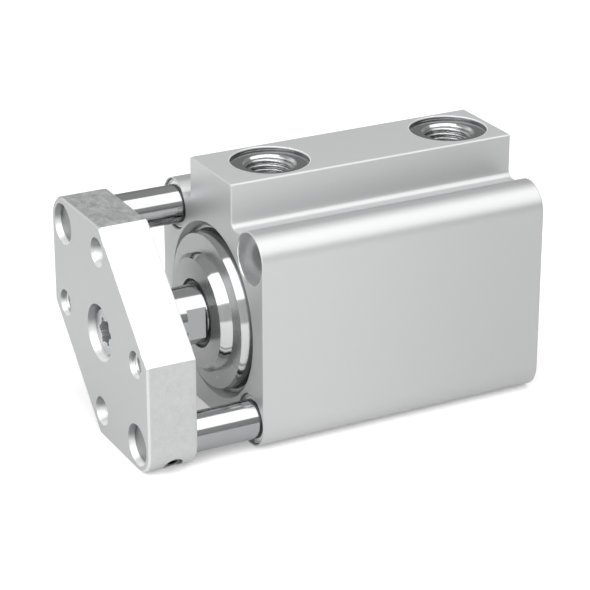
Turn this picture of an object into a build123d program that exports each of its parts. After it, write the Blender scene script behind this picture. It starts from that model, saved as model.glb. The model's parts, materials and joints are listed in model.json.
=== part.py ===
from build123d import *

import os
from math import ceil, isclose, radians, sqrt, tan

# Short-stroke cylinder with a guide plate, in millimetres, drawn with its rod in.
# The origin is the centre of the housing's rear face, on the cylinder axis.
# +X is the way the rod comes out, and +Z is the side of the port rail.

# Stroke and stack, which together give the housing its length
STROKE = 25.0
PISTON_LENGTH = 16.0
COVER_SEAT_DEPTH = 7.3
REAR_NOSE_LENGTH = 1.9
FRONT_NOSE_LENGTH = 5.4
BUMPER_PROUD = 0.3

# Housing section. The corner wall is the least between a ring groove and a corner hole, and the rim
# is what is left outside the hole.
CORNER_WALL = 0.7
CORNER_RIM = 0.3
RAIL_WIDTH = 18.4
RAIL_RISE = 7.2
RAIL_EDGE_RADIUS = 0.5
RAIL_FOOT_RADIUS = 1.5
VALLEY_DEPTH = 1.8
VALLEY_RADIUS = 0.8
BODY_EDGE_BREAK = 0.15

# Cylinder bore, and the stepped seat for a cover at each end of it
BORE_DIAMETER = 32.0
COVER_SHOULDER = 1.2
BORE_MOUTH_CHAMFER = 1.0
RING_INSET = 1.9
RING_THICKNESS = 1.2
RING_GROOVE_DEPTH = 0.9
RING_LIP = 0.7
RING_GAP_ANGLE = 26.0
RING_GAP_DIRECTION = 225.0

# Ports in the rail, with the pipe thread's outer diameter
PORT_THREAD_DIAMETER = 9.728
PORT_THREAD_DEPTH = 8.5
PORT_THREAD_CHAMFER = 0.5
PORT_SPOTFACE_DIAMETER = 16.0
PORT_SPOTFACE_DEPTH = 0.7
PORT_PASSAGE_DIAMETER = 3.5
FRONT_PORT_INSET = 13.1
REAR_PORT_INSET = 9.3

# Mounting holes in two of the housing's corners
MOUNTING_HOLE_DIAMETER = 6.6
MOUNTING_COUNTERBORE_DIAMETER = 10.4
MOUNTING_COUNTERBORE_DEPTH = 6.6
CORNER_HOLE_BREAK = 0.1

# Guide rods, their bushes and wipers in the other two corners
GUIDE_ROD_DIAMETER = 8.0
GUIDE_ROD_REAR_INSET = 2.5
GUIDE_ROD_CHAMFER = 0.5
GUIDE_ROD_PASSAGE_CLEARANCE = 0.3
GUIDE_BUSH_WALL = 1.0
GUIDE_BUSH_LENGTH = 20.0
GUIDE_BUSH_INSET = 0.5
GUIDE_BUSH_RELIEF_WIDTH = 0.2
GUIDE_BUSH_RELIEF_DEPTH = 1.8
GUIDE_WIPER_WALL = 0.6
GUIDE_WIPER_LENGTH = 1.6
GUIDE_WIPER_INSET = 0.2

# Covers and what they hold
COVER_DISC_CLEARANCE = 0.25
COVER_DISC_RISE = 1.3
COVER_DISC_CHAMFER = 0.4
COVER_BOSS_DIAMETER = 24.2
COVER_BOSS_RISE = 3.6
COVER_BOSS_CHAMFER = 0.8
COVER_NOSE_DIAMETER = 27.0
COVER_SPIGOT_LENGTH = 3.6
COVER_RELIEF_DIAMETER = 20.0
COVER_RELIEF_DEPTH = 0.6
COVER_SEAL_CORD = 1.8
COVER_SEAL_GROOVE_WIDTH = 2.2
COVER_SEAL_SQUEEZE = 0.25
BUMPER_OUTER_DIAMETER = 23.0
BUMPER_WALL = 2.5
BUMPER_THICKNESS = 1.5

# Piston rod, and its bush, seal and wiper in the front cover
ROD_DIAMETER = 12.0
ROD_CHAMFER = 0.5
ROD_FLATS_WIDTH = 10.0
ROD_FLATS_GAP = 0.2
ROD_FLATS_LENGTH = 4.2
ROD_LAND_CLEARANCE = 0.3
ROD_BUSH_WALL = 1.0
ROD_BUSH_LENGTH = 8.0
ROD_SEAL_WALL = 2.6
ROD_SEAL_LENGTH = 3.2
ROD_WIPER_WALL = 2.1
ROD_WIPER_LENGTH = 2.0
ROD_WIPER_LIP_WALL = 0.9
ROD_WIPER_LIP_LENGTH = 0.5
ROD_WIPER_SHOULDER = 0.7
COVER_OPENING_GAP = 1.1
SEAL_LAND = 1.1

# Piston, its rings and the screw that holds it on the rod
PISTON_SIDE_CLEARANCE = 0.25
PISTON_SEAL_WIDTH = 2.6
PISTON_SEAL_DEPTH = 3.2
SEAL_NOTCH_SHARE = 0.4
SEAL_BACK_OFF = 0.3
MAGNET_WIDTH = 3.2
MAGNET_DEPTH = 2.0
GUIDE_BAND_WIDTH = 2.6
GUIDE_BAND_DEPTH = 1.0
GUIDE_BAND_SLIT = 1.0
ROD_SPIGOT_DIAMETER = 8.0
PISTON_SEAL_CORD = 1.2
PISTON_SEAL_INSET = 4.0
PISTON_SCREW_HEAD_DIAMETER = 9.5
PISTON_SCREW_HEAD_HEIGHT = 3.0
PISTON_SCREW_SINK = 1.4
PISTON_SCREW_DIAMETER = 5.0
PISTON_SCREW_LENGTH = 8.0
PISTON_SCREW_SOCKET = 4.0
PISTON_SCREW_SOCKET_DEPTH = 1.8
PISTON_RECESS_CLEARANCE = 0.45

# Guide plate and its screws
PLATE_GAP = 14.1
PLATE_THICKNESS = 10.4
PLATE_CUT_OFFSET = 1.2
PLATE_EDGE_CHAMFER = 0.4
PLATE_DOWEL_DIAMETER = 5.0
PLATE_THREAD_DIAMETER = 5.0
PLATE_THREAD_CHAMFER = 0.25
PLATE_HOLE_CHAMFER = 0.5
GUIDE_ROD_RECESS = 1.1
PLATE_SCREW_DIAMETER = 6.0
PLATE_SCREW_LENGTH = 14.0
PLATE_SCREW_HEAD_DIAMETER = 10.0
PLATE_SCREW_HEAD_HEIGHT = 6.0
PLATE_SCREW_HEAD_CHAMFER = 0.5
PLATE_SCREW_RECESS = 1.2
PLATE_SCREW_SIDE_CLEARANCE = 0.6
PLATE_SCREW_HOLE_CLEARANCE = 0.3
SOCKET_CORE_DIAMETER = 4.6
SOCKET_LOBE_DIAMETER = 1.4
SOCKET_LOBES = 6
SOCKET_DEPTH = 3.0
CLAMP_SCREW_DIAMETER = 4.0
CLAMP_SCREW_INSET = 5.7
CLAMP_SCREW_BITE = 1.8
CLAMP_SCREW_RECESS = 0.5
CLAMP_SCREW_SOCKET = 2.0
CLAMP_SCREW_SOCKET_DEPTH = 1.5

# Radial clearances: between pieces that slide, and between a piece and its fixed seat
RUNNING_CLEARANCE = 0.03
SEAT_CLEARANCE = 0.02
THREAD_CLEARANCE = 0.02

# A cutter runs past the face that it opens by this much
OVERRUN = 1.0

# Radii that follow
BORE_RADIUS = BORE_DIAMETER / 2
SEAT_RADIUS = BORE_RADIUS + COVER_SHOULDER
ROD_RADIUS = ROD_DIAMETER / 2
GUIDE_ROD_RADIUS = GUIDE_ROD_DIAMETER / 2
BUSH_RADIUS = GUIDE_ROD_RADIUS + GUIDE_BUSH_WALL
CORNER_HOLE_RADIUS = max(MOUNTING_COUNTERBORE_DIAMETER / 2, BUSH_RADIUS + GUIDE_BUSH_RELIEF_WIDTH)
CORNER_RADIUS = CORNER_HOLE_RADIUS + CORNER_RIM
PISTON_RADIUS = BORE_RADIUS - PISTON_SIDE_CLEARANCE

# Stations along the axis that follow
REAR_SHOULDER = COVER_SEAT_DEPTH
REAR_NOSE_END = REAR_SHOULDER + REAR_NOSE_LENGTH
PISTON_REAR = REAR_NOSE_END + BUMPER_PROUD
PISTON_FRONT = PISTON_REAR + PISTON_LENGTH
FRONT_NOSE_END = PISTON_FRONT + STROKE + BUMPER_PROUD
FRONT_SHOULDER = FRONT_NOSE_END + FRONT_NOSE_LENGTH
BODY_LENGTH = FRONT_SHOULDER + COVER_SEAT_DEPTH
BOSS_FACE = BODY_LENGTH + COVER_BOSS_RISE
WIPER_FACE = BOSS_FACE - ROD_WIPER_SHOULDER
SEAL_FACE = WIPER_FACE - ROD_WIPER_LENGTH - SEAL_LAND
BUSH_FACE = SEAL_FACE - ROD_SEAL_LENGTH - SEAL_LAND
PLATE_REAR = BODY_LENGTH + PLATE_GAP
PLATE_FRONT = PLATE_REAR + PLATE_THICKNESS
SPIGOT_END = PISTON_REAR + PISTON_SCREW_SINK + PISTON_SCREW_HEAD_HEIGHT

# The corner pitch is rounded up to a whole millimetre, and gives the housing its side
CORNER_PITCH = ceil(sqrt(2) * (SEAT_RADIUS + RING_GROOVE_DEPTH + CORNER_WALL + CORNER_HOLE_RADIUS))
BODY_SIDE = CORNER_PITCH + 2 * CORNER_RADIUS

# Corner places as (y, z): the guides take one diagonal and the mounting holes the other
HALF_PITCH = CORNER_PITCH / 2
UPPER_GUIDE = (-HALF_PITCH, HALF_PITCH)
LOWER_GUIDE = (HALF_PITCH, -HALF_PITCH)
MOUNTING_HOLES = ((HALF_PITCH, HALF_PITCH), (-HALF_PITCH, -HALF_PITCH))
RAIL_TOP = BODY_SIDE / 2 + RAIL_RISE


def turned(*points):
    """A solid turned about the X axis from (x, radius) points."""
    return revolve(make_face(Polyline(*points, close=True)), axis=Axis.X)


def ring(inner, outer, start, end):
    """A plain ring about the X axis, given by its radii and end stations."""
    return turned((start, inner), (end, inner), (end, outer), (start, outer))


def round_bar(radius, start, end, place=(0, 0)):
    """A cylinder along X at a (y, z) place."""
    bar = Cylinder(radius, end - start, align=(Align.CENTER, Align.CENTER, Align.MIN))
    return Pos(start, *place) * Rot(0, 90, 0) * bar


def chamfered_bar(radius, start, end, chamfer_size):
    """A turned bar about the X axis with both ends chamfered."""
    return turned((start, 0), (start, radius - chamfer_size), (start + chamfer_size, radius),
                  (end - chamfer_size, radius), (end, radius - chamfer_size), (end, 0))


def countersink(radius, depth, face, inward, place=(0, 0)):
    """A cutter for a 45 degree chamfer round a hole that opens in the plane x = face."""
    wide = radius + depth + OVERRUN
    cone = turned((face - inward * OVERRUN, 0), (face - inward * OVERRUN, wide),
                  (face + inward * depth, radius), (face + inward * depth, 0))
    return Pos(0, *place) * cone


def cord_ring(station, inner, cord):
    """A ring of round cord about the X axis, whose inside just clears the radius inner."""
    middle = inner + cord / 2
    return revolve(Pos(station, middle) * Circle(cord / 2), axis=Axis.X)


def polygon_socket(width, depth, start):
    """A hexagon socket along X, from its mouth at start to its floor at start + depth."""
    hexagon = Plane.YZ * RegularPolygon(width / 2, 6, major_radius=False)
    return Pos(start, 0, 0) * extrude(hexagon, amount=depth)


def section_corners(section, across, up):
    """The corners of a section at plus and minus across, at height up."""
    return [corner for corner in section.vertices()
            if isclose(abs(corner.X), across, abs_tol=1e-4) and isclose(corner.Y, up, abs_tol=1e-4)]


def housing_section():
    """The extrusion's outline: a square with round corner lobes, valleys and the port rail."""
    valley = BODY_SIDE / 2 - VALLEY_DEPTH
    section = RectangleRounded(BODY_SIDE, BODY_SIDE, CORNER_RADIUS)
    section -= Pos(0, valley) * Rectangle(CORNER_PITCH, BODY_SIDE, align=(Align.CENTER, Align.MIN))
    for side in (-1, 1):
        section += Pos(side * HALF_PITCH, HALF_PITCH) * Circle(CORNER_RADIUS)
    section += Rectangle(RAIL_WIDTH, RAIL_TOP, align=(Align.CENTER, Align.MIN))
    lobe_foot = HALF_PITCH - sqrt(CORNER_RADIUS**2 - (valley - HALF_PITCH) ** 2)
    section = fillet(section_corners(section, RAIL_WIDTH / 2, valley), RAIL_FOOT_RADIUS)
    section = fillet(section_corners(section, lobe_foot, valley), VALLEY_RADIUS)
    return fillet(section_corners(section, RAIL_WIDTH / 2, RAIL_TOP), RAIL_EDGE_RADIUS)


def housing_bore():
    """The cutter for the cylinder bore, with a cover seat, ring groove and chamfer at each end."""
    groove = SEAT_RADIUS + RING_GROOVE_DEPTH
    mouth = SEAT_RADIUS + BORE_MOUTH_CHAMFER
    ring_end = RING_INSET + RING_THICKNESS
    half = [(-OVERRUN, 0), (-OVERRUN, mouth + OVERRUN), (BORE_MOUTH_CHAMFER, SEAT_RADIUS),
            (RING_INSET, SEAT_RADIUS), (RING_INSET, groove), (ring_end, groove),
            (ring_end, SEAT_RADIUS), (COVER_SEAT_DEPTH, SEAT_RADIUS), (COVER_SEAT_DEPTH, BORE_RADIUS)]
    far_half = [(BODY_LENGTH - x, radius) for x, radius in reversed(half)]
    return turned(*half, *far_half)


def port_cutter(station):
    """The cutter for one port: spotface, chamfer, threaded length and the passage to the bore."""
    floor = RAIL_TOP - PORT_SPOTFACE_DEPTH
    bottom = floor - PORT_THREAD_DEPTH
    thread = PORT_THREAD_DIAMETER / 2
    passage = PORT_PASSAGE_DIAMETER / 2
    spotface = PORT_SPOTFACE_DIAMETER / 2
    outline = Polyline((0, 0), (passage, 0), (passage, bottom), (thread, bottom),
                       (thread, floor - PORT_THREAD_CHAMFER), (thread + PORT_THREAD_CHAMFER, floor),
                       (spotface, floor), (spotface, RAIL_TOP + OVERRUN), (0, RAIL_TOP + OVERRUN),
                       close=True)
    return Pos(station, 0, 0) * revolve(Plane.XZ * make_face(outline), axis=Axis.Z)


def mounting_hole_cutter(place):
    """The cutter for a through hole with a counterbore and a broken edge at each end."""
    radius = MOUNTING_COUNTERBORE_DIAMETER / 2
    cutter = round_bar(MOUNTING_HOLE_DIAMETER / 2, -OVERRUN, BODY_LENGTH + OVERRUN, place)
    cutter += round_bar(radius, -OVERRUN, MOUNTING_COUNTERBORE_DEPTH, place)
    cutter += round_bar(radius, BODY_LENGTH - MOUNTING_COUNTERBORE_DEPTH, BODY_LENGTH + OVERRUN, place)
    cutter += countersink(radius, CORNER_HOLE_BREAK, 0, 1, place)
    return cutter + countersink(radius, CORNER_HOLE_BREAK, BODY_LENGTH, -1, place)


def guide_bore_cutter(place):
    """The cutter for a guide rod's way through the housing, with the bush seat at the front."""
    passage = GUIDE_ROD_RADIUS + GUIDE_ROD_PASSAGE_CLEARANCE
    relief = BUSH_RADIUS + GUIDE_BUSH_RELIEF_WIDTH
    seat_start = BODY_LENGTH - GUIDE_BUSH_INSET - GUIDE_BUSH_LENGTH
    cutter = round_bar(passage, -OVERRUN, BODY_LENGTH, place)
    cutter += round_bar(BUSH_RADIUS + SEAT_CLEARANCE, seat_start, BODY_LENGTH + OVERRUN, place)
    cutter += round_bar(relief, BODY_LENGTH - GUIDE_BUSH_RELIEF_DEPTH, BODY_LENGTH + OVERRUN, place)
    cutter += countersink(passage, CORNER_HOLE_BREAK, 0, 1, place)
    return cutter + countersink(relief, CORNER_HOLE_BREAK, BODY_LENGTH, -1, place)


def housing():
    """The extruded housing with every bore and port cut."""
    body = extrude(Plane.YZ * housing_section(), amount=BODY_LENGTH)
    rims = body.edges().group_by(Axis.X)
    body = chamfer(rims[0] + rims[-1], BODY_EDGE_BREAK)
    body -= housing_bore()
    for station in (REAR_PORT_INSET, BODY_LENGTH - FRONT_PORT_INSET):
        body -= port_cutter(station)
    for place in MOUNTING_HOLES:
        body -= mounting_hole_cutter(place)
    for place in (UPPER_GUIDE, LOWER_GUIDE):
        body -= guide_bore_cutter(place)
    return body


def bumper_ring(nose_end, inward):
    """An elastic ring let into a cover's nose, which stands proud towards the piston."""
    ends = sorted((nose_end - inward * BUMPER_PROUD, nose_end - inward * (BUMPER_PROUD - BUMPER_THICKNESS)))
    outer = BUMPER_OUTER_DIAMETER / 2
    return ring(outer - BUMPER_WALL + SEAT_CLEARANCE, outer - SEAT_CLEARANCE, *ends)


def bumper_recess(nose_end, inward):
    """The cutter for the recess that holds a bumper ring."""
    depth = BUMPER_THICKNESS - BUMPER_PROUD
    ends = sorted((nose_end - inward * OVERRUN, nose_end + inward * depth))
    outer = BUMPER_OUTER_DIAMETER / 2
    return ring(outer - BUMPER_WALL, outer, *ends)


def cover_seal_groove(middle):
    """The cutter for the O-ring groove in a cover's rim."""
    half_width = COVER_SEAL_GROOVE_WIDTH / 2
    bottom = SEAT_RADIUS - COVER_SEAL_CORD + COVER_SEAL_SQUEEZE
    return ring(bottom, SEAT_RADIUS + OVERRUN, middle - half_width, middle + half_width)


def cover_seal(middle):
    """The O-ring in a cover's rim, drawn squeezed to the room that it has."""
    cord = COVER_SEAL_CORD - COVER_SEAL_SQUEEZE - 2 * SEAT_CLEARANCE
    return cord_ring(middle, SEAT_RADIUS - COVER_SEAL_CORD + COVER_SEAL_SQUEEZE + SEAT_CLEARANCE, cord)


def cover_rim_middle(shoulder, outward):
    """The station halfway along a cover's rim, between its shoulder and its retaining ring."""
    return shoulder + outward * (COVER_SEAT_DEPTH - RING_INSET - RING_THICKNESS) / 2


def retaining_ring(inset_station, end_station):
    """An open snap ring in its groove."""
    whole = ring(SEAT_RADIUS - RING_LIP, SEAT_RADIUS + RING_GROOVE_DEPTH - SEAT_CLEARANCE,
                 inset_station, end_station)
    reach = SEAT_RADIUS + OVERRUN + RING_GROOVE_DEPTH
    width = 2 * reach * tan(radians(RING_GAP_ANGLE / 2))
    gap = Box(BODY_SIDE, reach, width, align=(Align.CENTER, Align.MIN, Align.CENTER))
    return whole - Pos(inset_station, 0, 0) * Rot(RING_GAP_DIRECTION, 0, 0) * gap


def front_cover():
    """The stepped, turned front cover with the seats of the rod's bush, seal and wiper."""
    rim = SEAT_RADIUS - SEAT_CLEARANCE
    rim_end = BODY_LENGTH - RING_INSET - RING_THICKNESS
    disc = SEAT_RADIUS - RING_LIP - COVER_DISC_CLEARANCE
    disc_face = BODY_LENGTH + COVER_DISC_RISE
    boss = COVER_BOSS_DIAMETER / 2
    nose = COVER_NOSE_DIAMETER / 2
    spigot = BORE_RADIUS - SEAT_CLEARANCE
    spigot_start = FRONT_SHOULDER - COVER_SPIGOT_LENGTH
    land = ROD_RADIUS + ROD_LAND_CLEARANCE
    cover = turned((FRONT_NOSE_END, land), (FRONT_NOSE_END, nose), (spigot_start, nose),
                   (spigot_start, spigot), (FRONT_SHOULDER, spigot), (FRONT_SHOULDER, rim),
                   (rim_end, rim), (rim_end, disc), (disc_face - COVER_DISC_CHAMFER, disc),
                   (disc_face, disc - COVER_DISC_CHAMFER), (disc_face, boss),
                   (BOSS_FACE - COVER_BOSS_CHAMFER, boss), (BOSS_FACE, boss - COVER_BOSS_CHAMFER),
                   (BOSS_FACE, land))
    cover -= ring(0, ROD_RADIUS + ROD_BUSH_WALL + SEAT_CLEARANCE, FRONT_NOSE_END - OVERRUN, BUSH_FACE)
    cover -= ring(0, ROD_RADIUS + ROD_SEAL_WALL + SEAT_CLEARANCE, SEAL_FACE - ROD_SEAL_LENGTH, SEAL_FACE)
    cover -= ring(0, ROD_RADIUS + ROD_WIPER_WALL + SEAT_CLEARANCE, WIPER_FACE - ROD_WIPER_LENGTH, WIPER_FACE)
    cover -= ring(0, ROD_RADIUS + COVER_OPENING_GAP, WIPER_FACE, BOSS_FACE + OVERRUN)
    cover -= cover_seal_groove(cover_rim_middle(FRONT_SHOULDER, 1))
    return cover - bumper_recess(FRONT_NOSE_END, 1)


def rear_cover():
    """The rear cover: a turned disc with a nose towards the piston."""
    rim = SEAT_RADIUS - SEAT_CLEARANCE
    rim_end = RING_INSET + RING_THICKNESS
    nose = COVER_NOSE_DIAMETER / 2
    relief = COVER_RELIEF_DIAMETER / 2
    cover = turned((rim_end + COVER_RELIEF_DEPTH, 0), (rim_end + COVER_RELIEF_DEPTH, relief),
                   (rim_end, relief), (rim_end, rim), (REAR_SHOULDER, rim),
                   (REAR_SHOULDER, nose), (REAR_NOSE_END, nose), (REAR_NOSE_END, 0))
    cover -= cover_seal_groove(cover_rim_middle(REAR_SHOULDER, -1))
    return cover - bumper_recess(REAR_NOSE_END, -1)


def lip_ring(inner, outer, start, end, lip_outside):
    """A lip seal with a V notch in its end face at end. Its lip thins towards the sliding side."""
    width = end - start
    notch = end - width * SEAL_NOTCH_SHARE
    middle = (inner + outer) / 2
    inner_back = inner if lip_outside else inner + SEAL_BACK_OFF
    outer_back = outer - SEAL_BACK_OFF if lip_outside else outer
    return turned((start, inner_back), (notch, inner), (end, inner), (notch, middle), (end, outer),
                  (notch, outer), (start, outer_back))


def rod_bush():
    """The plain bush that guides the piston rod in the front cover."""
    inner = ROD_RADIUS + RUNNING_CLEARANCE
    return ring(inner, ROD_RADIUS + ROD_BUSH_WALL, BUSH_FACE - ROD_BUSH_LENGTH, BUSH_FACE)


def rod_seal():
    """The lip seal that closes the front chamber round the piston rod."""
    inner = ROD_RADIUS + RUNNING_CLEARANCE
    return lip_ring(inner, ROD_RADIUS + ROD_SEAL_WALL, SEAL_FACE, SEAL_FACE - ROD_SEAL_LENGTH, False)


def rod_wiper():
    """The wiper ring in the mouth of the front cover, with a thin lip that points outwards."""
    inner = ROD_RADIUS + RUNNING_CLEARANCE
    outer = ROD_RADIUS + ROD_WIPER_WALL
    lip = ROD_RADIUS + ROD_WIPER_LIP_WALL
    start = WIPER_FACE - ROD_WIPER_LENGTH
    return turned((start, inner), (start, outer), (WIPER_FACE, outer), (WIPER_FACE, lip),
                  (WIPER_FACE + ROD_WIPER_LIP_LENGTH, inner + ROD_WIPER_LIP_WALL / 2),
                  (WIPER_FACE + ROD_WIPER_LIP_LENGTH, inner))


def guide_bush(place):
    """A guide rod's bush, recessed at its front end for the wiper."""
    face = BODY_LENGTH - GUIDE_BUSH_INSET
    recess = GUIDE_ROD_RADIUS + GUIDE_WIPER_WALL + SEAT_CLEARANCE
    recess_floor = face - GUIDE_WIPER_INSET - GUIDE_WIPER_LENGTH
    inner = GUIDE_ROD_RADIUS + RUNNING_CLEARANCE
    start = face - GUIDE_BUSH_LENGTH
    bush = turned((start, inner), (start, BUSH_RADIUS), (face, BUSH_RADIUS), (face, recess),
                  (recess_floor, recess), (recess_floor, inner))
    return Pos(0, *place) * bush


def guide_wiper(place):
    """The wiper ring in the front end of a guide bush."""
    face = BODY_LENGTH - GUIDE_BUSH_INSET - GUIDE_WIPER_INSET
    inner = GUIDE_ROD_RADIUS + RUNNING_CLEARANCE
    return Pos(0, *place) * ring(inner, GUIDE_ROD_RADIUS + GUIDE_WIPER_WALL, face - GUIDE_WIPER_LENGTH, face)


def piston_slots():
    """The end stations of the piston's four ring grooves, from the rear, with equal lands between."""
    widths = (PISTON_SEAL_WIDTH, MAGNET_WIDTH, GUIDE_BAND_WIDTH, PISTON_SEAL_WIDTH)
    land = (PISTON_LENGTH - sum(widths)) / (len(widths) + 1)
    slots = []
    start = PISTON_REAR + land
    for width in widths:
        slots.append((start, start + width))
        start += width + land
    return slots


def piston_screw_seat():
    """The station of the piston screw's head face, against the end of the rod's spigot."""
    return SPIGOT_END - PISTON_SCREW_HEAD_HEIGHT


def piston():
    """The piston with its ring grooves, its bore for the rod and the recess for its screw."""
    depths = (PISTON_SEAL_DEPTH, MAGNET_DEPTH, GUIDE_BAND_DEPTH, PISTON_SEAL_DEPTH)
    body = ring(ROD_SPIGOT_DIAMETER / 2 + SEAT_CLEARANCE, PISTON_RADIUS, PISTON_REAR, PISTON_FRONT)
    for (start, end), depth in zip(piston_slots(), depths):
        body -= ring(PISTON_RADIUS - depth, BORE_RADIUS, start, end)
    recess = PISTON_SCREW_HEAD_DIAMETER / 2 + PISTON_RECESS_CLEARANCE
    body -= ring(0, recess, PISTON_REAR - OVERRUN, SPIGOT_END)
    middle = PISTON_FRONT - PISTON_SEAL_INSET
    groove = ROD_SPIGOT_DIAMETER / 2 + PISTON_SEAL_CORD + SEAT_CLEARANCE
    return body - ring(0, groove, middle - PISTON_SEAL_CORD / 2 - SEAT_CLEARANCE,
                       middle + PISTON_SEAL_CORD / 2 + SEAT_CLEARANCE)


def piston_o_ring():
    """The static seal between the piston and the rod's spigot."""
    inner = ROD_SPIGOT_DIAMETER / 2 + SEAT_CLEARANCE
    return cord_ring(PISTON_FRONT - PISTON_SEAL_INSET, inner, PISTON_SEAL_CORD - SEAT_CLEARANCE)


def piston_seal(slot, towards_front):
    """One of the piston's lip seals, with its notch on the pressure side."""
    start, end = slot if towards_front else reversed(slot)
    inner = PISTON_RADIUS - PISTON_SEAL_DEPTH + SEAT_CLEARANCE
    return lip_ring(inner, BORE_RADIUS - RUNNING_CLEARANCE, start, end, True)


def magnet_ring():
    """The magnet ring that a position sensor would read."""
    start, end = piston_slots()[1]
    return ring(PISTON_RADIUS - MAGNET_DEPTH + SEAT_CLEARANCE, PISTON_RADIUS, start, end)


def guide_band():
    """The split band that keeps the piston off the bore."""
    start, end = piston_slots()[2]
    inner = PISTON_RADIUS - GUIDE_BAND_DEPTH + SEAT_CLEARANCE
    band = ring(inner, BORE_RADIUS - RUNNING_CLEARANCE, start, end)
    slit = Pos(start, 0, 0) * Box(BODY_SIDE, GUIDE_BAND_SLIT, BODY_SIDE,
                                  align=(Align.CENTER, Align.CENTER, Align.MAX))
    return band - slit


def piston_screw():
    """The screw that clamps the piston between its own head and the rod's shoulder."""
    face = piston_screw_seat()
    head = PISTON_SCREW_HEAD_DIAMETER / 2
    shank = PISTON_SCREW_DIAMETER / 2 - THREAD_CLEARANCE
    tip = SPIGOT_END + PISTON_SCREW_LENGTH
    screw = turned((face, 0), (face, head), (SPIGOT_END, head), (SPIGOT_END, shank), (tip, shank), (tip, 0))
    return screw - polygon_socket(PISTON_SCREW_SOCKET, PISTON_SCREW_SOCKET_DEPTH, face)


def piston_rod():
    """The piston rod, from its spigot in the piston to the guide plate, with two wrench flats."""
    spigot = ROD_SPIGOT_DIAMETER / 2
    rod = turned((SPIGOT_END, 0), (SPIGOT_END, spigot), (PISTON_FRONT, spigot), (PISTON_FRONT, ROD_RADIUS),
                 (PLATE_REAR - ROD_CHAMFER, ROD_RADIUS), (PLATE_REAR, ROD_RADIUS - ROD_CHAMFER),
                 (PLATE_REAR, 0))
    rod -= round_bar(PISTON_SCREW_DIAMETER / 2, SPIGOT_END - OVERRUN, SPIGOT_END + PISTON_SCREW_LENGTH)
    thread_end = plate_screw_seat() - PLATE_SCREW_LENGTH
    rod -= round_bar(PLATE_SCREW_DIAMETER / 2, thread_end, PLATE_REAR + OVERRUN)
    flats_start = BOSS_FACE + ROD_FLATS_GAP
    for side in (-1, 1):
        flat = Box(ROD_FLATS_LENGTH, ROD_DIAMETER, ROD_DIAMETER + OVERRUN,
                   align=(Align.MIN, Align.MIN if side > 0 else Align.MAX, Align.CENTER))
        rod -= Pos(flats_start, side * ROD_FLATS_WIDTH / 2, 0) * flat
    return rod


def clamp_frame(place):
    """A frame at a guide rod's clamp screw, whose Z points out through the plate's round corner."""
    y, z = place
    return Plane(origin=(PLATE_FRONT - CLAMP_SCREW_INSET, y, z), x_dir=(1, 0, 0), z_dir=(0, y, z))


def guide_rod(place):
    """A guide rod with the pocket that its clamp screw seats in."""
    rod = Pos(0, *place) * chamfered_bar(GUIDE_ROD_RADIUS, GUIDE_ROD_REAR_INSET,
                                         PLATE_FRONT - GUIDE_ROD_RECESS, GUIDE_ROD_CHAMFER)
    pocket = Cylinder(CLAMP_SCREW_DIAMETER / 2, GUIDE_ROD_DIAMETER,
                      align=(Align.CENTER, Align.CENTER, Align.MIN))
    return rod - clamp_frame(place) * Pos(0, 0, GUIDE_ROD_RADIUS - CLAMP_SCREW_BITE) * pocket


def clamp_screw(place):
    """A short set screw, sunk below the plate's round corner."""
    bottom = GUIDE_ROD_RADIUS - CLAMP_SCREW_BITE
    length = CORNER_RADIUS - CLAMP_SCREW_RECESS - bottom
    screw = Cylinder(CLAMP_SCREW_DIAMETER / 2 - THREAD_CLEARANCE, length,
                     align=(Align.CENTER, Align.CENTER, Align.MIN))
    socket = extrude(RegularPolygon(CLAMP_SCREW_SOCKET / 2, 6, major_radius=False),
                     amount=CLAMP_SCREW_SOCKET_DEPTH + OVERRUN)
    screw -= Pos(0, 0, length - CLAMP_SCREW_SOCKET_DEPTH) * socket
    return clamp_frame(place) * Pos(0, 0, bottom) * screw


def plate_outline():
    """The guide plate's outline: a square with two corners cut off at 45 degrees and two rounded."""
    half = BODY_SIDE / 2
    cut = PLATE_CUT_OFFSET
    arc = CORNER_RADIUS
    outline = Polyline((-cut, -half), (half, -half), (half, cut), (cut, half),
                       (-half, half), (-half, -cut), close=True)
    face = make_face(outline)
    rounded = [corner for corner in face.vertices()
               if isclose(corner.X, -corner.Y, abs_tol=1e-4) and isclose(abs(corner.X), half, abs_tol=1e-4)]
    return fillet(rounded, arc)


def plate_screw_seat():
    """The station of the plate screw's head bearing face, at the floor of the counterbore."""
    return PLATE_FRONT - PLATE_SCREW_RECESS - PLATE_SCREW_HEAD_HEIGHT


def plate_hole_cutter(radius, chamfer_size, place):
    """The cutter for a through hole in the plate with both edges chamfered."""
    cutter = round_bar(radius, PLATE_REAR - OVERRUN, PLATE_FRONT + OVERRUN, place)
    cutter += countersink(radius, chamfer_size, PLATE_FRONT, -1, place)
    return cutter + countersink(radius, chamfer_size, PLATE_REAR, 1, place)


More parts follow.
